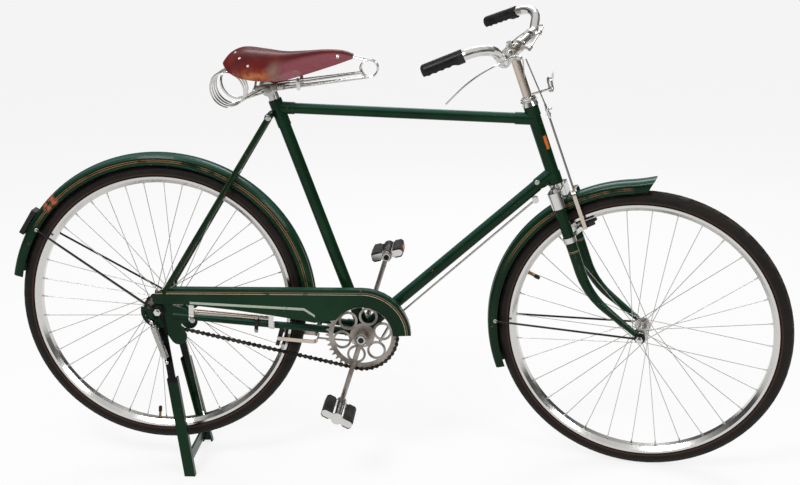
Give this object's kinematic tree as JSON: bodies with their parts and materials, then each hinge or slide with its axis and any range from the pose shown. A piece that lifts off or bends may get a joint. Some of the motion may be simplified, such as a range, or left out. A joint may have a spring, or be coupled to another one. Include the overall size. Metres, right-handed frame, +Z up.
{
  "type": "vintage bicycle",
  "caption": "Gents' roadster bicycle with diamond frame, rod brakes, enclosed upper chain run, full mudguards, sprung leather saddle and a fold-up rear stand, parked on the stand.",
  "frame": {"origin": "on the floor under the middle of the bicycle's bounding box", "axes": "+X forwards along the bicycle, +Y to the rider's left, +Z up"},
  "size_m": [1.8685, 0.6447, 1.0989],
  "materials": {
    "green_enamel": "gloss",
    "chrome": "polished, slightly dulled",
    "worn_steel": "worn plating",
    "chain_steel": "oiled",
    "black_enamel": "satin",
    "black_plastic": "gloss",
    "tyre_rubber": "matte",
    "block_rubber": "matte",
    "grip_rubber": "satin",
    "saddle_leather": "polished by use"
  },
  "bodies": {
    "frame": {"head_tube": "green_enamel", "top_tube": "green_enamel", "down_tube": "green_enamel", "seat_tube": "green_enamel", "bottom_bracket_shell": "green_enamel", "chain_stays": "green_enamel", "seat_stays": "green_enamel", "headset_cups": "chrome", "seat_pillar": "chrome", "saddle_frame": "chrome", "saddle_leather": "saddle_leather", "rear_mudguard": "green_enamel", "rear_mudguard_stays": "black_enamel", "rear_reflector": "black_plastic", "chain_guard": "green_enamel", "guard_clips": "chrome", "chain": "chain_steel", "rear_axle": "worn_steel", "stand_stop_plate": "black_enamel", "rear_brake_rod": "chrome", "rear_brake_stirrup": "chrome", "rear_brake_shoes": "block_rubber", "bell_cranks": "chrome"},
    "steering": {"fork_crown": "chrome", "fork_blades": "green_enamel", "fork_ends": "green_enamel", "headset_nuts": "chrome", "handlebar_stem": "chrome", "handlebar": "chrome", "grips": "grip_rubber", "brake_levers": "chrome", "front_brake_rod": "chrome", "front_brake_stirrup": "chrome", "front_brake_shoes": "block_rubber", "front_brake_guides": "chrome", "lamp_bracket": "chrome", "front_mudguard": "green_enamel", "front_mudguard_stays": "black_enamel", "front_axle": "worn_steel"},
    "front_wheel": {"front_tyre": "tyre_rubber", "front_rim": "chrome", "front_spokes": "chrome", "front_hub": "chrome"},
    "rear_wheel": {"rear_tyre": "tyre_rubber", "rear_rim": "chrome", "rear_spokes": "chrome", "rear_hub": "chrome", "rear_sprocket": "worn_steel"},
    "crank": {"chainring": "worn_steel", "right_crank": "worn_steel", "left_crank": "worn_steel", "crank_axle": "worn_steel"},
    "right_pedal": {"right_pedal_frame": "chrome", "right_pedal_rubbers": "block_rubber"},
    "left_pedal": {"left_pedal_frame": "chrome", "left_pedal_rubbers": "block_rubber"},
    "stand": {"stand_legs": "green_enamel", "stand_spring": "chrome"}
  },
  "joints": [
    {"name": "steering", "type": "hinge", "parent": "frame", "child": "steering", "pos_m": [0.5129, -0.025, 0.32252], "axis": [-0.3179, 0, 0.9481], "range_deg": [-40, 60]},
    {"name": "front_wheel_spin", "type": "hinge", "parent": "steering", "child": "front_wheel", "pos_m": [0.59235, -0.04435, 0.34915], "axis": [0.2133, 0.9744, 0.0715], "continuous": true},
    {"name": "rear_wheel_spin", "type": "hinge", "parent": "frame", "child": "rear_wheel", "pos_m": [-0.566, -0.025, 0.41], "axis": [0, 1, 0], "continuous": true},
    {"name": "crank_spin", "type": "hinge", "parent": "frame", "child": "crank", "pos_m": [-0.07673, -0.025, 0.34459], "axis": [0, 1, 0], "continuous": true},
    {"name": "right_pedal_spin", "type": "hinge", "parent": "crank", "child": "right_pedal", "pos_m": [-0.12917, -0.025, 0.18288], "axis": [0, 1, 0], "continuous": true},
    {"name": "left_pedal_spin", "type": "hinge", "parent": "crank", "child": "left_pedal", "pos_m": [-0.02429, -0.025, 0.5063], "axis": [0, 1, 0], "continuous": true},
    {"name": "stand_fold", "type": "hinge", "parent": "frame", "child": "stand", "pos_m": [-0.566, -0.025, 0.41], "axis": [0, 1, 0], "range_deg": [0, 90], "deforming": ["stand_spring"]}
  ]
}
